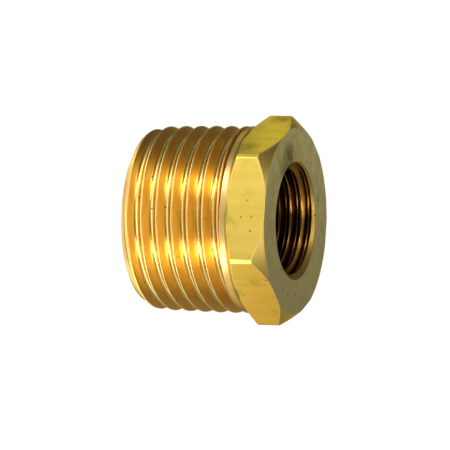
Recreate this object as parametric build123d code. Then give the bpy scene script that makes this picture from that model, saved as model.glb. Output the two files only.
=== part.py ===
from build123d import *
import math
import os

# A one-piece brass hex reducing bushing. It stands on the end of its outside
# thread, with its hexagon on top, and its own axis is +Z. Lengths are in mm.

# outside thread: parallel pipe thread, size 1/2, 14 threads to the inch;
# its groove crosses the end face at this angle about the axis
male_major_d = 20.955
male_per_inch = 14
male_end_deg = 272.0
lead_in_deg = 38.0

# inside thread: parallel pipe thread, size 1/4, 19 threads to the inch;
# its groove crosses the hexagon's face at this angle about the axis
female_major_d = 13.157
female_per_inch = 19
female_mouth_deg = 291.0
female_thread_len = 6.5
mouth_chamfer_deg = 45.0
end_chamfer = 0.5

# both threads have the same 55 degree form, cut off flat at crest and root
flank_deg = 27.5
flat_share = 1 / 6

# lengths along the axis, from the end of the outside thread
thread_len = 12.05
shank_len = 12.95
overall_len = 17.30

# hexagon
across_flats = 20.64
corner_r = 0.50
back_chamfer_deg = 30.0
back_edge_z = 13.62
front_chamfer_deg = 42.0
front_land_d = 20.82

# collar between thread and hexagon, eased down to the flats
collar_ease_len = 0.25
collar_ease_drop = 0.16

inch = 25.4
overrun = 1.0


def thread_depth(pitch):
    """Height of the cut-off form between its crest and its root flats."""
    return pitch * (1 - 2 * flat_share) / 2 / math.tan(math.radians(flank_deg))


def helix_edge(pitch, radius, z, turns, start_deg):
    """A right-hand helix that begins at height z at the given angle."""
    return Edge.make_helix(pitch, pitch * turns, radius, center=(0, 0, z)).rotate(Axis.Z, start_deg)


def helical_groove(pitch, root_r, crest_r, z, turns, start_deg):
    """The solid a thread tool sweeps: a flat root, two flanks and an open side just past the crests."""
    spare = pitch * flat_share / 4
    root_half = pitch * flat_share / 2
    open_half = pitch / 2 - spare
    open_r = crest_r + math.copysign(spare / math.tan(math.radians(flank_deg)), crest_r - root_r)
    corners = [
        (root_r, z - root_half),
        (root_r, z + root_half),
        (open_r, z + open_half),
        (open_r, z - open_half),
    ]
    if crest_r > root_r:
        corners.reverse()
    faces = []
    for turn in range(turns):
        edges = [helix_edge(pitch, r, height + turn * pitch, 1, start_deg) for r, height in corners]
        faces += [Face.make_surface_from_curves(edges[i], edges[(i + 1) % 4]) for i in range(4)]
        if turn == 0:
            faces.append(Face(Wire.make_polygon([edge @ 0 for edge in edges], close=True)))
    faces.append(Face(Wire.make_polygon([edge @ 1 for edge in edges], close=True)))
    return Solid(Shell(faces))


def turned(points):
    """A solid of revolution about Z from (radius, height) corners."""
    return revolve(make_face(Polyline([(r, 0, z) for r, z in points], close=True)), Axis.Z)


male_pitch = inch / male_per_inch
male_r = male_major_d / 2
male_root_r = male_r - thread_depth(male_pitch)
female_pitch = inch / female_per_inch
female_root_r = female_major_d / 2
female_r = female_root_r - thread_depth(female_pitch)
flat_r = across_flats / 2
far_r = across_flats

# threaded blank with its lead-in cone, then the plain collar behind it
lead_len = (male_r - male_root_r) / math.tan(math.radians(lead_in_deg))
blank = turned([
    (0, 0),
    (male_root_r, 0),
    (male_r, lead_len),
    (male_r, thread_len),
    (0, thread_len),
])
collar = turned([
    (0, thread_len),
    (male_r, thread_len),
    (male_r, shank_len - collar_ease_len),
    (male_r - collar_ease_drop, shank_len),
    (0, shank_len),
])
male_turns = math.ceil(thread_len / male_pitch) + 4
male_groove = helical_groove(male_pitch, male_root_r, male_r, -2 * male_pitch, male_turns, male_end_deg)
shank = blank - male_groove + collar

# hexagon: a rounded bar between two cones
back_slope = math.tan(math.radians(back_chamfer_deg))
front_slope = math.tan(math.radians(front_chamfer_deg))
corner_out = across_flats / math.sqrt(3) - corner_r * (2 / math.sqrt(3) - 1)
hex_low_z = back_edge_z - (corner_out - flat_r + collar_ease_drop) * back_slope
hex_sketch = RegularPolygon(flat_r, 6, major_radius=False)
hex_sketch = fillet(hex_sketch.vertices(), corner_r)
bar = extrude(Pos(0, 0, hex_low_z) * hex_sketch, overall_len - hex_low_z)
far_z = hex_low_z + (far_r - flat_r + collar_ease_drop) * back_slope
back_cone = turned([
    (0, hex_low_z),
    (flat_r - collar_ease_drop, hex_low_z),
    (far_r, far_z),
    (far_r, far_z + overall_len),
    (0, far_z + overall_len),
])
front_cone = turned([
    (0, overall_len - far_r * front_slope),
    (far_r, overall_len - far_r * front_slope),
    (far_r, overall_len - (far_r - front_land_d / 2) * front_slope),
    (front_land_d / 2, overall_len),
    (0, overall_len),
])

# bore: tapping size right through, eased at both ends
mouth_slope = math.tan(math.radians(mouth_chamfer_deg))
mouth_len = (female_root_r - female_r) / mouth_slope
bore = turned([
    (0, -overrun),
    (female_r + end_chamfer + overrun, -overrun),
    (female_r, end_chamfer),
    (female_r, overall_len - mouth_len),
    (female_root_r + overrun / mouth_slope, overall_len + overrun),
    (0, overall_len + overrun),
])

# inside groove, from the tap's last thread out through the mouth
female_turns = math.ceil(female_thread_len / female_pitch) + 1
female_start_deg = female_mouth_deg - 360 * female_thread_len / female_pitch
female_groove = helical_groove(
    female_pitch,
    female_root_r,
    female_r,
    overall_len - female_thread_len,
    female_turns,
    female_start_deg,
)

hexagon = bar & back_cone & front_cone
hex_bushing = shank + hexagon - bore - female_groove

os.makedirs("parts", exist_ok=True)
export_step(hex_bushing, "parts/hex_bushing.step")
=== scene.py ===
import bpy
import math
import numpy as np
from mathutils import Matrix


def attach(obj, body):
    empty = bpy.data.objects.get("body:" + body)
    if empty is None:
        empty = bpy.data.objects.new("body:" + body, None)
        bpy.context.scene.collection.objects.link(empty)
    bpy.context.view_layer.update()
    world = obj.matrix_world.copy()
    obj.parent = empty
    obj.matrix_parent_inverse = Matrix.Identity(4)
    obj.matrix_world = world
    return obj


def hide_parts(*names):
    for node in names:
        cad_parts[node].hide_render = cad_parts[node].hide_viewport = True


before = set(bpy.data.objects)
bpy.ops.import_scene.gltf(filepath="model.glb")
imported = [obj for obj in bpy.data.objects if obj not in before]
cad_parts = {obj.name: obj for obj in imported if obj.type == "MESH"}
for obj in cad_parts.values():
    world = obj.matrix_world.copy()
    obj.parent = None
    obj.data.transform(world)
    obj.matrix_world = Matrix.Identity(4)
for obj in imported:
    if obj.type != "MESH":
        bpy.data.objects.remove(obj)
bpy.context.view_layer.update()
scene = bpy.context.scene
scene.view_settings.view_transform = "Standard"
print("frame loaded")


def toLinear(hexColour):
    # sRGB hex to linear: c / 12.92 up to 0.04045, ((c + 0.055) / 1.055) ^ 2.4 above it
    channels = [int(hexColour[i:i + 2], 16) / 255 for i in (1, 3, 5)]
    return [c / 12.92 if c <= 0.04045 else ((c + 0.055) / 1.055) ** 2.4 for c in channels] + [1.0]


def addNode(tree, kind, inputs=None, stops=(), **settings):
    # one node with its settings. An input, by name or number, takes a value, a hex colour, a node
    # or one of a node's outputs. A ramp's stops are places with grey levels or hex colours.
    node = tree.nodes.new(kind)
    for name, value in settings.items():
        setattr(node, name, value)
    for key, value in (inputs or {}).items():
        named = [socket for socket in node.inputs if socket.enabled and socket.name == key]
        socket = named[0] if named else node.inputs[key]
        if isinstance(value, bpy.types.Node):
            value = next(output for output in value.outputs if output.enabled)
        if isinstance(value, bpy.types.NodeSocket):
            tree.links.new(value, socket)
        else:
            socket.default_value = toLinear(value) if isinstance(value, str) else value
    if stops:
        elements = node.color_ramp.elements
        while len(elements) < len(stops):
            elements.new(0.5)
        for element, (place, level) in zip(elements, stops):
            element.position = place
            element.color = toLinear(level) if isinstance(level, str) else (level, level, level, 1)
    return node


def emptyTree(owner):
    # the node tree of a material or a world, with nothing in it yet
    owner.use_nodes = True
    owner.node_tree.nodes.clear()
    return owner.node_tree


cameraView = {
    "place": (66.1044, -557.2171, 217.7833),          # mm
    "right": (-0.06231309, 0.34389537, 0.93693813),   # nearly the part's up
    "up": (-0.99205145, -0.12416767, -0.0204038),
    "back": (0.10932065, -0.93076225, 0.34889917),
    "lens": 427.10034,                                # mm, on the sensor's width
    "sensor": 36,
    "nearest": 0.01,                                  # m
    "farthest": 50,
}

cameraData = bpy.data.cameras.new("camera")
cameraData.sensor_width = cameraView["sensor"]
cameraData.lens = cameraView["lens"]
cameraData.clip_start = cameraView["nearest"]
cameraData.clip_end = cameraView["farthest"]
camera = bpy.data.objects.new("camera", cameraData)
scene.collection.objects.link(camera)
cameraTurn = Matrix((cameraView["right"], cameraView["up"], cameraView["back"])).transposed().to_4x4()
camera.matrix_world = Matrix.Translation([c * 0.001 for c in cameraView["place"]]) @ cameraTurn
scene.camera = camera
print("camera placed")


# both threads have the 55 degree form; its sizes are shares of the pitch
threadForm = {
    "flankDeg": 27.5,
    "depth": 0.640327,           # crest to root
    "arc": 0.137329,             # radius of the standard crest and root
}

# mm and degrees, heights from the end of the outside thread
bushing = {
    "overallLen": 17.30,
    # outside thread: the first turns run a little low, and its end is a rounded lead-in
    "maleR": 10.4775, "malePitch": 25.4 / 14, "maleCrestZ": 1.349, "threadEnd": 12.05,
    "maleCrestArc": 0.10,        # sharp crests and full roots, as a die leaves them
    "lowFrom": 10.0, "lowFall": 0.0025,
    "endR": 9.277, "leadScale": 0.55,
    "wallLead": 0.06, "wallLen": 0.08,                 # the groove's end wall: its start and its length
    # bore and inside thread
    "femaleR": 5.7225, "femalePitch": 25.4 / 19, "femaleCrestZ": 16.8874, "femaleLen": 6.5,
    "femaleCrestArc": 0.12, "mouthR": 6.5785, "endChamfer": 0.5,
    # collar and hexagon
    "collarEnd": 12.70, "easeDrop": 0.16, "easeLen": 0.25,
    "flatR": 10.32, "cornerR": 0.50, "backEdgeZ": 13.62, "backDeg": 30.0, "frontDeg": 42.0, "landR": 10.41,
    "wornCornerR": 11.775,       # corners rubbed to a narrow facet
    "edgeWear": 0.07,            # half width of a worn edge
}

# where the grid's lines lie: close together beside edges, which keeps them crisp
gridPlan = {
    "besideCorner": (0, 0.45, 0.9, 1.25, 1.8, 2.6),               # degrees from a corner of the hexagon
    "acrossFlat": (4.0, 56.0, 33),                                # first, last and number, in degrees
    "leadIn": (0.03, 0.06, 0.1, 0.14),                            # mm from the end face
    "maleFrom": 0.19, "maleTo": 0.07, "maleStep": 0.068,          # mm from the end, before the wall, apart
    "grooveWall": (-0.06, -0.045, -0.03, -0.015, 0, 0.02, 0.08, 0.2, 0.4),       # mm from the thread's end
    "mouth": (0.012, 0.04, 0.08), "femaleFrom": 0.13, "femaleStep": 0.062,       # mm below the face, apart
    "faceFrom": 9.4, "faceRings": 9,                              # radius in mm, and number of rings
    "plainTo": 1.5, "plainRings": 10,                             # height in mm
    "chamferFrom": 0.9, "endRings": 7,
}

# how far each finish reaches on the skin
finishPlan = {
    "flankFrom": 0.02, "flankRise": 0.06, "flankTo": 0.86, "flankFall": 0.12,    # shares of the depth
    "crestTo": 0.09, "crestFall": 0.06,
    "threadFrom": 0.3, "rimTo": 1.1, "rimFall": 0.6, "mouthDepth": 0.75,         # mm
    "collarRim": 0.55,           # how much of the end rim's darker tone lies on the collar
}


def smoothStep(x):
    # 3 x^2 - 2 x^3 between 0 and 1
    x = np.clip(x, 0, 1)
    return x * x * (3 - 2 * x)


def threadPhase(height, angle, pitch, crestHeight):
    # how far along the axis a point is past the nearest crest of a right-hand helix, in pitches
    phase = (height - crestHeight - pitch * angle / (2 * np.pi)) / pitch
    return phase - np.round(phase)


def threadDepth(phase, pitch, crestArc):
    # depth below the crest: crest arc r - sqrt(r^2 - x^2), then a straight flank of slope 1 / tan 27.5,
    # then the root arc; the two arcs together take off the same height as in the standard form
    tilt = math.radians(threadForm["flankDeg"])
    rootArc = 2 * threadForm["arc"] * pitch - crestArc
    fromCrest = np.abs(phase) * pitch
    fromRoot = pitch / 2 - fromCrest
    crest = crestArc - np.sqrt(np.maximum(crestArc**2 - fromCrest**2, 0))
    root = threadForm["depth"] * pitch - rootArc + np.sqrt(np.maximum(rootArc**2 - fromRoot**2, 0))
    flank = crestArc * (1 - math.sin(tilt)) + (fromCrest - crestArc * math.cos(tilt)) / math.tan(tilt)
    onRoot = fromRoot < rootArc * math.cos(tilt)
    return np.where(fromCrest < crestArc * math.cos(tilt), crest, np.where(onRoot, root, flank))


def crestFall(height):
    # the first turns run low: fall * (distance from where it begins)^2
    return bushing["lowFall"] * np.maximum(bushing["lowFrom"] - height, 0) ** 2


def maleRadius(height, angle):
    # crest radius less the fall and the depth of the form, never above the lead-in, which nears
    # the crest as 1 - e^(-height / scale); the groove stops at a square wall where the collar begins
    b = bushing
    phase = threadPhase(height, angle, b["malePitch"], b["maleCrestZ"])
    depth = threadDepth(phase, b["malePitch"], b["maleCrestArc"])
    low = crestFall(height)
    threaded = b["maleR"] - low * (1 - depth / (threadForm["depth"] * b["malePitch"])) - depth
    drop = b["maleR"] - crestFall(0) - b["endR"]
    leadIn = b["maleR"] - low - drop * np.exp(-height / b["leadScale"])
    closed = smoothStep((height - b["threadEnd"] + b["wallLead"]) / b["wallLen"])
    return np.minimum(threaded, leadIn) * (1 - closed) + b["maleR"] * closed


def mouthCone(height):
    # 45 degree countersink: its radius falls as fast as its height
    return bushing["mouthR"] - (bushing["overallLen"] - height)


def femaleRadius(height, angle):
    # the same form cut outwards from the bore, fading over its last turn, never inside the mouth's cone
    b = bushing
    phase = threadPhase(height, angle, b["femalePitch"], b["femaleCrestZ"])
    depth = threadDepth(phase, b["femalePitch"], b["femaleCrestArc"])
    fade = smoothStep((height - b["overallLen"] + b["femaleLen"]) / b["femalePitch"])
    return np.maximum(b["femaleR"] + depth * fade, mouthCone(height))


def hexRadius(angle):
    # flat: flatR / cos(angle from its middle); near a corner: the rounding circle seen from the axis
    b = bushing
    sector = np.pi / 3
    off = (angle + sector / 2) % sector - sector / 2          # from the nearest corner
    centre = 2 / math.sqrt(3) * (b["flatR"] - b["cornerR"])
    arc = centre * np.cos(off) + np.sqrt(np.maximum(b["cornerR"] ** 2 - (centre * np.sin(off)) ** 2, 0))
    touch = math.atan2(b["cornerR"] / 2, centre + b["cornerR"] * math.cos(sector / 2))
    rounded = np.where(np.abs(off) < touch, arc, b["flatR"] / np.cos(sector / 2 - np.abs(off)))
    return np.minimum(rounded, b["wornCornerR"] / np.cos(off))


def ring(angle, radius, height):
    # one line of the grid round the axis: a radius and a height for every column
    return np.stack([radius + 0 * angle, height + 0 * angle], axis=1)


def wornCorners(points, width):
    # each inner corner of the profile becomes five rings: two supports, two tangent rings and the
    # arc's middle, at (start + end + 2 corner) / 4
    rows = [points[0]]
    for before, here, after in zip(points[:-2], points[1:-1], points[2:]):
        back, ahead = before - here, after - here
        backLen = np.linalg.norm(back, axis=1, keepdims=True)
        aheadLen = np.linalg.norm(ahead, axis=1, keepdims=True)
        w = np.minimum(width, 0.2 * np.minimum(backLen, aheadLen))
        start, end = here + back / backLen * w, here + ahead / aheadLen * w
        middle = (start + end + 2 * here) / 4
        rows += [here + back / backLen * w * 2, start, middle, end, here + ahead / aheadLen * w * 2]
    return rows + [points[-1]]


def endFaceRows(angle):
    # out of the bore over its chamfer and across the end face, flat at height 0;
    # rings a few hundredths of a mm beside an edge keep it crisp
    b = bushing
    boreR, chamfer, endR = b["femaleR"], b["endChamfer"], b["endR"]
    places = [
        (boreR, gridPlan["chamferFrom"]),
        (boreR, chamfer + 0.1),
        (boreR + 0.02, chamfer - 0.02),
        (boreR + chamfer / 2, chamfer / 2),
        (boreR + chamfer - 0.04, 0.04),
        (boreR + chamfer + 0.05, 0),
    ]
    places += [(r, 0) for r in np.linspace(boreR + chamfer + 0.25, endR - 0.2, gridPlan["endRings"])]
    places += [(endR - 0.05, 0), (endR, 0.012)]
    return [ring(angle, r, z) for r, z in places]


def threadRows(angle):
    # up the outside thread and its collar
    plan, threadEnd = gridPlan, bushing["threadEnd"]
    turns = np.arange(plan["maleFrom"], threadEnd - plan["maleTo"], plan["maleStep"])
    heights = np.concatenate([plan["leadIn"], turns, threadEnd + np.array(plan["grooveWall"])])
    return [ring(angle, maleRadius(h, angle), h) for h in heights]


def hexagonCorners(angle):
    # the profile's corners from the collar to the face. The collar eases inwards, and the back cone,
    # radius = corner + (z - backEdgeZ) / slope, meets it where the flat lies further out than the collar.
    # The least widths of 0.03 and 0.05 mm keep neighbouring rings apart.
    b = bushing
    hexR = hexRadius(angle)
    cornerOut = hexR.max()
    backSlope, frontSlope = math.tan(math.radians(b["backDeg"])), math.tan(math.radians(b["frontDeg"]))
    easeSlope = b["easeDrop"] / b["easeLen"]
    coneReach = b["maleR"] + easeSlope * b["collarEnd"] - cornerOut + b["backEdgeZ"] / backSlope
    meetZ = coneReach / (1 / backSlope + easeSlope)
    meetR = cornerOut + (meetZ - b["backEdgeZ"]) / backSlope
    onFlat = hexR <= meetR
    firstR = np.where(onFlat, hexR, meetR)
    firstZ = np.where(onFlat, b["collarEnd"] + (b["maleR"] - hexR) / easeSlope, meetZ)
    secondZ = np.where(onFlat, firstZ + 0.05, b["backEdgeZ"] + (hexR - cornerOut) * backSlope)
    frontZ = np.minimum(b["overallLen"] - (hexR - b["landR"]) * frontSlope, b["overallLen"] - 0.05)
    landR = np.minimum(hexR, b["landR"])
    return [
        ring(angle, b["maleR"], b["collarEnd"] - 0.1),
        ring(angle, b["maleR"], b["collarEnd"]),
        ring(angle, firstR, firstZ),
        ring(angle, hexR, np.maximum(secondZ, firstZ + 0.03)),
        ring(angle, hexR, frontZ),
        ring(angle, landR, b["overallLen"]),
        ring(angle, landR - 0.6, b["overallLen"]),
    ]


def boreRows(angle):
    # across the face, over the mouth's edge, down the inside thread and along the plain bore
    b, plan, top = bushing, gridPlan, bushing["overallLen"]
    rows = [ring(angle, r, top) for r in np.linspace(plan["faceFrom"], b["mouthR"] + 0.3, plan["faceRings"])]
    rows += [ring(angle, b["mouthR"] + 0.06, top), ring(angle, b["mouthR"] + 0.01, top - plan["mouth"][0])]
    turns = np.arange(plan["femaleFrom"], b["femaleLen"] + 0.05, plan["femaleStep"])
    heights = top - np.concatenate([plan["mouth"][1:], turns])
    rows += [ring(angle, femaleRadius(h, angle), h) for h in heights]
    heights = np.linspace(top - b["femaleLen"] - 0.3, plan["plainTo"], plan["plainRings"])
    return rows + [ring(angle, b["femaleR"], h) for h in heights]


def bushingGrid():
    # rows run from the bore's far end outwards, up the thread, over the hexagon and down the bore;
    # columns run round the axis. Gives the columns' angles, radii, heights and the front edge's rows.
    beside = list(gridPlan["besideCorner"])
    sector = np.array(beside + list(np.linspace(*gridPlan["acrossFlat"])) + [60 - o for o in beside[:0:-1]])
    angle = np.radians(np.concatenate([sector + 60 * k for k in range(6)]))
    rows = endFaceRows(angle) + threadRows(angle)
    frontEdge = len(rows) + 1 + 5 * 3                 # first of the five rings of the fourth worn corner
    rows += wornCorners(hexagonCorners(angle), bushing["edgeWear"])
    rows += boreRows(angle)
    profile = np.array(rows)
    return angle, profile[:, :, 0], profile[:, :, 1], slice(frontEdge + 1, frontEdge + 4)


def closedGrid(name, points):
    # a surface on a grid that is closed both ways, so that it has no edge
    rowCount, columnCount = points.shape[:2]
    row, column = np.meshgrid(np.arange(rowCount), np.arange(columnCount), indexing="ij")
    nextRow, nextColumn = (row + 1) % rowCount, (column + 1) % columnCount
    quads = np.stack([
        row * columnCount + column,
        row * columnCount + nextColumn,
        nextRow * columnCount + nextColumn,
        nextRow * columnCount + column,
    ], axis=-1).reshape(-1, 4)
    mesh = bpy.data.meshes.new(name)
    mesh.vertices.add(rowCount * columnCount)
    mesh.vertices.foreach_set("co", points.astype(np.float32).ravel())
    mesh.loops.add(quads.size)
    mesh.loops.foreach_set("vertex_index", quads.astype(np.int32).ravel())
    mesh.polygons.add(len(quads))
    mesh.polygons.foreach_set("loop_start", np.arange(0, quads.size, 4, dtype=np.int32))
    mesh.polygons.foreach_set("loop_total", np.full(len(quads), 4, dtype=np.int32))
    mesh.update(calc_edges=True)
    mesh.validate()
    mesh.polygons.foreach_set("use_smooth", np.ones(len(mesh.polygons), dtype=bool))
    return mesh


def surfaceShares(angle, radius, height, frontEdge):
    # what each point of the skin belongs to, as shares from 0 to 1; the limits, in mm, stand a
    # little inside or outside the edges, so that each ring falls on one side of them
    b, plan = bushing, finishPlan
    top, threadEnd, collarEnd = b["overallLen"], b["threadEnd"], b["collarEnd"]
    edge = np.zeros_like(height)
    edge[frontEdge] = 1.0
    face = (height.min(axis=1) > top - 0.03) & (radius.min(axis=1) > b["mouthR"] + 0.02)
    inBore = (radius < b["mouthR"] + 0.02) & (height > 0.05)
    mouth = inBore & (height > top - plan["mouthDepth"]) & (np.abs(radius - mouthCone(height)) < 0.01)
    boreDepth = (radius - b["femaleR"]) / (threadForm["depth"] * b["femalePitch"])
    # on the outside thread: 0 on the crest and 1 in the root
    low = crestFall(height)
    depth = (b["maleR"] - low - radius) / (threadForm["depth"] * b["malePitch"] - low)
    thread = (height > plan["threadFrom"]) & (height < threadEnd) & ~inBore
    flank = smoothStep((depth - plan["flankFrom"]) / plan["flankRise"])
    flank = flank * smoothStep((plan["flankTo"] - depth) / plan["flankFall"]) * thread
    under = threadPhase(height, angle, b["malePitch"], b["maleCrestZ"]) < 0       # faces the end
    crest = smoothStep((plan["crestTo"] - depth) / plan["crestFall"]) * thread * (height < threadEnd - 0.1)
    endRim = smoothStep((plan["rimTo"] - height) / plan["rimFall"]) * ~inBore
    collar = (height > threadEnd - 0.01) & (height < collarEnd + 0.05) & ~inBore
    flat = np.abs(radius - hexRadius(angle)) < 0.012
    flat = flat & (height > collarEnd + 0.1) & (height < top - 0.01)
    cone = (height > collarEnd + 0.02) & (height < top - 0.02) & ~flat & ~inBore
    return {
        "face": np.repeat(face[:, None], len(angle), axis=1),
        "edge": edge,
        "flat": flat,
        "cone": cone | mouth,
        "bore": inBore,
        "rim": np.maximum(endRim, plan["collarRim"] * collar),
        "crest": crest,
        "flank": flank * ~under,
        "under": flank * under,
        "boreGroove": np.clip(boreDepth, 0, 1) * (inBore & ~mouth),
    }


angle, radius, height, frontEdge = bushingGrid()
points = np.stack([radius * np.cos(angle), radius * np.sin(angle), height], axis=-1) * 0.001
bushingMesh = closedGrid("bushingSkin", points)
bushingShares = surfaceShares(angle, radius, height, frontEdge)
for name, values in bushingShares.items():
    layer = bushingMesh.attributes.new(name + "Share", "FLOAT", "POINT")
    layer.data.foreach_set("value", values.astype(np.float32).ravel())
skin = bpy.data.objects.new("bushingSkin", bushingMesh)
scene.collection.objects.link(skin)
print("bushing made:", len(bushingMesh.polygons) * 2, "triangles")


brassLook = {
    "clean": "#ebcb7c",          # freshly cut brass
    "warm": "#e7bb62",           # redder brass where the tool rubbed
    "olive": "#d2bd50",          # light tarnish
    "stain": "#b59c47",          # heavier tarnish
    "hexFlankShade": "#d09c4c",           # painted shade: a deeper orange on the flanks that face the hexagon, as the light from the next flank colours them
    "under": "#cdb45c",          # painted shade: olive, on those that face the end
    "rim": "#b3935e",            # end turn and collar
    "rubbed": "#e9c777",         # crests and the hexagon's front edge
    "flat": "#e3c35a", "streak": "#dcbb52",            # drawn skin of the bar
    "cone": "#d0b056",           # duller turned cones
    "face": "#e3d8a2", "faceDark": "#c5bb8a", "faceShade": "#ab9f70",          # grey-green film, and painted shade on one side of the face
    # the bore's wall, then its painted shade: on the mouth's cone and in the thread's roots, deep down, and
    # in bands
    "boreWall": "#dca648", "boreShade": "#8a5f24", "boreDeepShade": "#553a14", "boreBandShade": "#4a3212",
    "pit": "#3c3010", "darkSpot": "#4c3d20",
    "edgeTint": "#f2e2b8",       # paler at a glancing angle
    # how thickly each film and each painted shade lies
    "flankShadeStrength": 0.85, "mouthShadeStrength": 0.4, "faceSpeckle": 0.4,
    # painted shade in bands along the bore wall, dark in its middle and far out and clean where the two
    # glints show: how thickly at shares of this reach, in mm, from its middle plane, and the share by which
    # the clouds move them
    "bandReach": 6.0, "bandWander": 0.12,
    "shadeBandStops": ((0.0, 0.85), (0.2, 0.8), (0.36, 0.0), (0.62, 0.0), (0.9, 0.7)),
    # darker spots by the bore's mouth, and brown smudges on two flats: place, inner and outer reach in mm,
    # strength
    "darkSpots": (
        ((-6.1, -3.3, 17.3), 0.7, 2.6, 0.95),
        ((-4.9, -5.2, 17.3), 0.3, 1.9, 0.6),
        ((-11.2, -1.2, 15.2), 0.4, 1.7, 0.8),
        ((-7.2, -8.2, 14.2), 0.3, 1.6, 0.5),
    ),
    "darkSpotKept": 0.4,           # share of a spot that the clouds leave everywhere
    # single pits on the face and on one flat, in the same way
    "pits": (
        ((-3.2, 7.0, 17.3), 0.1, 0.2, 0.9),
        ((-1.4, 6.3, 17.3), 0.1, 0.2, 0.9),
        ((8.5, -1.1, 17.3), 0.1, 0.2, 0.7),
        ((8.2, 1.2, 17.3), 0.1, 0.2, 0.7),
        ((-0.9, -10.3, 15.2), 0.1, 0.2, 0.4),
        ((0.9, -10.3, 15.8), 0.1, 0.2, 0.4),
    ),
    # noises: size of a patch in mm, detail and roughness
    "noises": {
        "mottle": (2.2, 3.0, 0.5),
        "cloud": (1.4, 4.0, 0.6),
        "grain": (0.35, 2.0, 0.5),
        "drawn": (5 / 7, 2.0, 0.5),
        "streak": (0.9, 3.0, 0.5),
        "turned": (0.25, 2.0, 0.5),
    },
    "stretch": {"drawn": 25, "streak": 25 / 3},        # lines are this many times longer than wide
    "pitMm": 1.6,                # between scattered pits
    "lineStrength": 0.1, "lineDepth": 0.02,            # share and mm
    # masks: what each is read from, where it begins, where it is full, and its strength there
    "masks": {
        "patches": ("mottle", 0.42, 0.68, 1.0),
        "stains": ("mottle", 0.58, 0.78, 0.8),
        "clouds": ("cloud", 0.35, 0.65, 1.0),
        "streaks": ("streak", 0.42, 0.66, 1.0),
        "pits": ("dots", 0.085, 0.05, 0.85),
        # painted shade in the roots of the inside thread
        "groove": ("boreGroove", 0.2, 0.7, 0.85),
        "fade": ("x", -0.010, 0.010, 0.7),             # painted shade, darker across the face towards +X, in m
        "sunkShade": ("z", 0.0150, 0.0136, 1.0),            # painted shade, darker down the bore, in m
    },
    # roughness of a clean cut, and what the grain and each surface add to it
    "cutRoughness": 0.16, "grainRoughness": 0.08,
    "addedRoughness": {
        "face": 0.32, "cone": 0.16, "rim": 0.16, "edge": 0.2, "crest": 0.2, "flank": 0.17, "flat": 0.12,
    },
}


def layCoats(tree, base, coats):
    # colours laid one over another, each as thick as its own mask says
    for mask, tone in coats:
        base = addNode(tree, "ShaderNodeMix", {"Factor": mask, "A": base, "B": tone}, data_type="RGBA")
    return base


def spotMask(tree, place, spot):
    # a round spot: its full strength within the inner reach, nothing beyond the outer one
    centre, inner, outer, strength = spot
    centre = [c * 0.001 for c in centre]
    away = addNode(tree, "ShaderNodeVectorMath", {0: place, 1: centre}, operation="DISTANCE")
    reach = {"From Min": outer * 0.001, "From Max": inner * 0.001, "To Max": strength}
    return addNode(tree, "ShaderNodeMapRange", {"Value": away, **reach})


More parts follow.
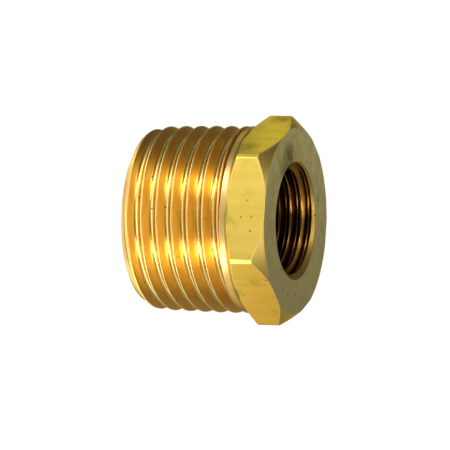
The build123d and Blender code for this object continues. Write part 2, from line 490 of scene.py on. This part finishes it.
def turnedBrass(shareNames):
    # bare turned brass: a metal whose own colour tints every reflection, warmer in the grooves by painted
    # shade on the flanks, duller and greener on the sawn face with painted shade on one side, and painted
    # shade inside the bore
    look = brassLook
    material = bpy.data.materials.new("turnedBrass")
    tree = emptyTree(material)
    place = addNode(tree, "ShaderNodeTexCoord").outputs["Object"]
    split = addNode(tree, "ShaderNodeSeparateXYZ", {"Vector": place})
    share = {}
    for name in shareNames:
        share[name] = addNode(tree, "ShaderNodeAttribute", attribute_name=name + "Share").outputs["Fac"]

    # turned lines run round the axis, over the distance from it and the height;
    # drawn lines and streaks run along the bar
    level = addNode(tree, "ShaderNodeCombineXYZ", {"X": split.outputs["X"], "Y": split.outputs["Y"]})
    outward = addNode(tree, "ShaderNodeVectorMath", {0: level}, operation="LENGTH")
    drift = addNode(tree, "ShaderNodeMath", {0: split.outputs["X"], 1: 0.03}, operation="MULTIPLY")
    rings = addNode(tree, "ShaderNodeCombineXYZ", {"X": outward, "Y": split.outputs["Z"], "Z": drift})
    field = {"mottle": place, "cloud": place, "grain": place, "turned": rings}
    for name, times in look["stretch"].items():
        field[name] = addNode(tree, "ShaderNodeMapping", {"Vector": place, "Scale": (1, 1, 1 / times)})

    # soft patches of tarnish a couple of millimetres across, finer clouds and grain, and the lines
    noise = {}
    for name, (size, detail, roughness) in look["noises"].items():
        noise[name] = addNode(tree, "ShaderNodeTexNoise", {
            "Vector": field[name], "Scale": 1000 / size, "Detail": detail, "Roughness": roughness})
    # scattered pits: little dark dots where one of these points lies just under the surface
    dots = addNode(tree, "ShaderNodeTexVoronoi", {"Vector": place, "Scale": 1000 / look["pitMm"]})
    sources = {**noise, "dots": dots, "boreGroove": share["boreGroove"]}
    sources.update(x=split.outputs["X"], z=split.outputs["Z"])
    mask = {}
    for name, (source, begins, full, strength) in look["masks"].items():
        mask[name] = addNode(tree, "ShaderNodeMapRange", {
            "Value": sources[source], "From Min": begins, "From Max": full, "To Max": strength})

    # painted shade on the flanks, thinner than their share says, and fine tarnish along the drawn lines
    hexFlankShade = addNode(tree, "ShaderNodeMath", {0: share["flank"], 1: look["flankShadeStrength"]}, operation="MULTIPLY")
    under = addNode(tree, "ShaderNodeMath", {0: share["under"], 1: look["flankShadeStrength"]}, operation="MULTIPLY")
    speckle = {0: noise["grain"], 1: look["faceSpeckle"]}
    speckle = addNode(tree, "ShaderNodeMath", speckle, operation="MULTIPLY")
    tarnish = addNode(tree, "ShaderNodeMath", {0: noise["drawn"], 1: mask["patches"]}, operation="MULTIPLY")

    # the bore: its wall, painted shade on its mouth's cone and deep down, and painted shade in bands along
    # the wall
    notCone = addNode(tree, "ShaderNodeMath", {0: 1.0, 1: share["cone"]}, operation="SUBTRACT")
    wall = addNode(tree, "ShaderNodeMath", {0: share["bore"], 1: notCone}, operation="MULTIPLY")
    # painted shade on the mouth's cone
    mouth = addNode(tree, "ShaderNodeMath", {0: share["bore"], 1: share["cone"]}, operation="MULTIPLY")
    mouth = addNode(tree, "ShaderNodeMath", {0: mouth, 1: look["mouthShadeStrength"]}, operation="MULTIPLY")
    sunkShade = addNode(tree, "ShaderNodeMath", {0: share["bore"], 1: mask["sunkShade"]}, operation="MULTIPLY")
    # painted shade in bands along the bore wall, moved a little by the clouds
    wander = {0: mask["clouds"], 1: look["bandWander"], 2: -look["bandWander"] / 2}
    wander = addNode(tree, "ShaderNodeMath", wander, operation="MULTIPLY_ADD")
    across = addNode(tree, "ShaderNodeMath", {0: split.outputs["X"]}, operation="ABSOLUTE")
    across = {0: across, 1: 1000 / look["bandReach"], 2: wander}
    across = addNode(tree, "ShaderNodeMath", across, operation="MULTIPLY_ADD")
    paintedBands = addNode(tree, "ShaderNodeValToRGB", {"Fac": across}, look["shadeBandStops"])
    paintedBands = addNode(tree, "ShaderNodeMath", {0: wall, 1: paintedBands}, operation="MULTIPLY")

    # darker spots by the mouth and brown smudges on the flats, each broken up by the clouds
    broken = {0: mask["clouds"], 1: 1 - look["darkSpotKept"], 2: look["darkSpotKept"]}
    broken = addNode(tree, "ShaderNodeMath", broken, operation="MULTIPLY_ADD")
    darkSpots = []
    for spot in look["darkSpots"]:
        darkSpot = {0: spotMask(tree, place, spot), 1: broken}
        darkSpots.append((addNode(tree, "ShaderNodeMath", darkSpot, operation="MULTIPLY"), look["darkSpot"]))

    flatTone = layCoats(tree, look["flat"], [
        (mask["streaks"], look["streak"]), (tarnish, look["olive"]), (mask["stains"], look["stain"])])
    coneTone = layCoats(tree, look["cone"], [(mask["stains"], look["stain"])])
    # the sawn face: grey-green film and speckle, with painted shade darker towards +X
    faceTone = layCoats(tree, look["face"], [
        (mask["clouds"], look["faceDark"]), (speckle, look["olive"]), (mask["fade"], look["faceShade"])])
    colour = layCoats(tree, look["clean"], [
        (mask["patches"], look["warm"]),
        # painted shade on the thread's flanks: deeper orange on those that face the hexagon, olive on those
        # that face the end
        (hexFlankShade, look["hexFlankShade"]),
        (under, look["under"]),
        (share["rim"], look["rim"]),
        (share["crest"], look["rubbed"]),
        (share["flat"], flatTone),
        (share["cone"], coneTone),
        (share["face"], faceTone),
        (wall, look["boreWall"]),
        # painted shade: darker on the mouth's cone and in the inside thread's roots
        (mouth, look["boreShade"]),
        (mask["groove"], look["boreShade"]),
        *darkSpots,
        # painted shade deep in the bore and in bands along its wall
        (sunkShade, look["boreDeepShade"]),
        (paintedBands, look["boreBandShade"]),
        (share["edge"], look["rubbed"]),
        (mask["pits"], look["pit"]),
        *[(spotMask(tree, place, spot), look["pit"]) for spot in look["pits"]],
    ])

    # each surface adds its own roughness to that of a clean cut
    rough = {0: noise["grain"], 1: look["grainRoughness"], 2: look["cutRoughness"]}
    rough = addNode(tree, "ShaderNodeMath", rough, operation="MULTIPLY_ADD")
    for name, added in look["addedRoughness"].items():
        rough = {0: share[name], 1: added, 2: rough}
        rough = addNode(tree, "ShaderNodeMath", rough, operation="MULTIPLY_ADD")

    # drawn lines on the flats and turned lines everywhere else
    lines = {"Factor": share["flat"], "A": noise["turned"], "B": noise["drawn"]}
    lines = addNode(tree, "ShaderNodeMix", lines)
    bump = {"Height": lines, "Strength": look["lineStrength"], "Distance": look["lineDepth"] * 0.001}
    metal = addNode(tree, "ShaderNodeBsdfPrincipled", {
        "Base Color": colour,
        "Metallic": 1.0,
        "Roughness": rough,
        "Specular Tint": look["edgeTint"],
        "Normal": addNode(tree, "ShaderNodeBump", bump),
    })
    addNode(tree, "ShaderNodeOutputMaterial", {"Surface": metal})
    return material


bushingMesh.materials.append(turnedBrass(bushingShares))
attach(skin, "root")
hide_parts("hex_bushing")
print("brass given")


studio = {
    "floorSize": 6.0,            # m
    "floorDrop": 0.02,           # mm below the part, so that no faces share a place
    "viewSide": 6.7,             # degrees round from -Y, the side that the camera looks from
    "table": "#f2f2f2",
    "whiteToEye": 1.08, "shadowKept": 0.1,                       # glow of the white, and share that is shaded
    # painted light: pools of glow on the table that only the metal's reflections see. Each ring takes over
    # from the one inside it between two distances in mm, with brightness or colour by degrees round from the
    # camera's side;
    # the first lies everywhere
    "paintedPoolGlow": 6.0,
    "rings": (
        ((-2, -1), (
            (-180, 0.15), (-150, 0.12), (-135, 0.01), (-90, 0.02), (-65, 0.1), (-50, 0.36), (-42, 0.45),
            (-34, 0.36), (-22, 0.3), (0, 0.38), (20, 0.34), (31, 0.36), (39, 0.5), (49, 0.5), (66, 0.32),
            (95, 0.22), (130, 0.03), (150, 0.12), (180, 0.15))),
        ((18.5, 23.5), (
            (-180, 0.15), (-150, 0.12), (-135, 0.01), (-112, 0.06), (-90, 0.04), (-65, 0.12), (-52, 0.3),
            (-47, 1.6), (-38, 1.6), (-32, 0.3), (-22, 0.19), (0, 0.15), (20, 0.19), (29, 0.3), (35, 1.6),
            (46, 1.6), (52, 0.4), (66, 0.27), (95, 0.18), (130, 0.03), (150, 0.12), (180, 0.15))),
        ((40.5, 43.5), (
            (-180, 0.15), (-150, 0.1), (-132, "#686c54"), (-121, "#7c8162"), (-108, "#797e5d"), (-85, 0.07),
            (-60, 0.1), (-48, 0.35), (-36, 0.35), (-26, 0.2), (-13, 0.175), (2, 0.12), (20, 0.17), (32, 0.4),
            (39, 0.8), (52, 0.8), (58, 0.15), (95, "#675430"), (118, "#675430"), (145, 0.08), (180, 0.15))),
        ((57, 63), (
            (-180, 0.15), (-150, 0.12), (-130, 0.03), (-90, 0.04), (-65, 0.12), (-52, 0.2), (-42, 0.27),
            (-32, 0.22), (0, 0.18), (28, 0.22), (39, 0.29), (52, 0.23), (66, 0.2), (95, 0.14), (130, 0.05),
            (150, 0.12), (180, 0.15))),
    ),
    # the room: a dim surround, a pale ceiling and a pale wall, the brightest of them showing. Each has a
    # direction, the cosine at which its places count from 0, and brightness by place up to 1, straight at it
    "room": (
        ((0.3, 0.95, 0.1), -1.0, (
            (0, 0.9), (0.04, 0.7), (0.12, 0.25), (0.25, 0.17), (0.5, 0.14), (0.8, 0.16), (0.86, 0.22),
            (0.93, 0.38), (1, 0.38))),
        ((0.0, 0.0, 1.0), 0.0, ((0.6, 0.0), (0.85, 0.2), (0.94, 0.7), (0.97, 1.2), (1, 1.2))),
        ((0.95, 0.0, 0.31), 0.0, ((0.6, 0.0), (0.85, 0.3), (0.93, 0.42), (1, 0.5))),
    ),
    # soft boxes: degrees round from the camera's side, and brightness
    "boxes": {"leftBox": (-42, 2.8), "rightBox": (40, 3.0)},
    "boxRise": 38, "boxAway": 1.0, "boxSize": (0.30, 1.2),       # degrees and m
    "boxAim": 0.009,             # m above the table, about half the part's height
}


def paleFloorPaintedPools():
    # plain matt table: white to the eye but for the part's soft shadow; in the metal, painted pools of light
    # glowing on the table
    material = bpy.data.materials.new("paleFloorPaintedPools")
    tree = emptyTree(material)
    matt = addNode(tree, "ShaderNodeBsdfDiffuse", {"Color": studio["table"]})
    white = addNode(tree, "ShaderNodeEmission", {"Color": "#ffffff", "Strength": studio["whiteToEye"]})
    shaded = addNode(tree, "ShaderNodeMixShader", {0: 1 - studio["shadowKept"], 1: matt, 2: white})
    place = addNode(tree, "ShaderNodeTexCoord").outputs["Object"]
    split = addNode(tree, "ShaderNodeSeparateXYZ", {"Vector": place})
    minusY = addNode(tree, "ShaderNodeMath", {0: split.outputs["Y"], 1: -1.0}, operation="MULTIPLY")
    azimuth = addNode(tree, "ShaderNodeMath", {0: split.outputs["X"], 1: minusY}, operation="ARCTAN2")
    middle = math.radians(studio["viewSide"])
    azimuth = addNode(tree, "ShaderNodeMath", {0: azimuth, 1: middle}, operation="SUBTRACT")
    azimuth = {"Value": azimuth, "From Min": -math.pi, "From Max": math.pi}
    azimuth = addNode(tree, "ShaderNodeMapRange", azimuth)
    away = addNode(tree, "ShaderNodeVectorMath", {0: place}, operation="LENGTH")
    # painted light: pools of glow by direction round the part and distance from it, for glossy rays only
    pools = []
    for (near, far), levels in studio["rings"]:
        step = {"Value": away, "From Min": near * 0.001, "From Max": far * 0.001}
        step = addNode(tree, "ShaderNodeMapRange", step, interpolation_type="SMOOTHSTEP")
        stops = [((degrees + 180) / 360, level) for degrees, level in levels]
        pools.append((step, addNode(tree, "ShaderNodeValToRGB", {"Fac": azimuth}, stops)))
    glow = layCoats(tree, "#000000", pools)
    table = addNode(tree, "ShaderNodeEmission", {"Color": glow, "Strength": studio["paintedPoolGlow"]})
    ray = addNode(tree, "ShaderNodeLightPath")
    toEye = addNode(tree, "ShaderNodeMixShader", {0: ray.outputs["Is Camera Ray"], 1: matt, 2: shaded})
    toMetal = addNode(tree, "ShaderNodeMixShader", {0: ray.outputs["Is Glossy Ray"], 1: toEye, 2: table})
    addNode(tree, "ShaderNodeOutputMaterial", {"Surface": toMetal})
    return material


half = studio["floorSize"] / 2
floorMesh = bpy.data.meshes.new("floor")
floorCorners = [(-half, -half, 0), (half, -half, 0), (half, half, 0), (-half, half, 0)]
floorMesh.from_pydata(floorCorners, [], [(0, 1, 2, 3)])
floorMesh.materials.append(paleFloorPaintedPools())
floor = bpy.data.objects.new("floor", floorMesh)
floor.location.z = -studio["floorDrop"] * 0.001
scene.collection.objects.link(floor)


def dimRoom():
    # soft grey surround with a pale ceiling and wall, all from the direction a ray leaves in
    world = bpy.data.worlds.new("studio")
    tree = emptyTree(world)
    leaving = addNode(tree, "ShaderNodeTexCoord").outputs["Generated"]
    shade = "#000000"
    for direction, lowest, stops in studio["room"]:
        toward = addNode(tree, "ShaderNodeVectorMath", {0: leaving, 1: direction}, operation="DOT_PRODUCT")
        toward = addNode(tree, "ShaderNodeMapRange", {"Value": toward, "From Min": lowest})
        level = addNode(tree, "ShaderNodeValToRGB", {"Fac": toward}, stops)
        both = {"Factor": 1.0, "A": shade, "B": level}
        shade = addNode(tree, "ShaderNodeMix", both, data_type="RGBA", blend_type="LIGHTEN")
    backdrop = addNode(tree, "ShaderNodeBackground", {"Color": shade, "Strength": 1.0})
    addNode(tree, "ShaderNodeOutputWorld", {"Surface": backdrop})
    return world


def softBox(name, azimuth, glow):
    # a soft box that faces the part; its power is glow * pi * area, so that it looks glow bright
    width, tall = studio["boxSize"]
    data = bpy.data.lights.new(name, "AREA")
    data.shape = "RECTANGLE"
    data.size, data.size_y = width, tall
    data.energy = glow * math.pi * width * tall
    box = bpy.data.objects.new(name, data)
    scene.collection.objects.link(box)
    a, e = math.radians(studio["viewSide"] + azimuth), math.radians(studio["boxRise"])
    back = np.array([math.sin(a) * math.cos(e), -math.cos(a) * math.cos(e), math.sin(e)])
    side = np.cross([0, 0, 1.0], back)
    side /= np.linalg.norm(side)
    place = back * studio["boxAway"] + np.array([0, 0, studio["boxAim"]])
    turn = Matrix((side, np.cross(back, side), back)).transposed().to_4x4()
    box.matrix_world = Matrix.Translation(place) @ turn


scene.world = dimRoom()
for name, (azimuth, glow) in studio["boxes"].items():
    softBox(name, azimuth, glow)
print("floor and light set")
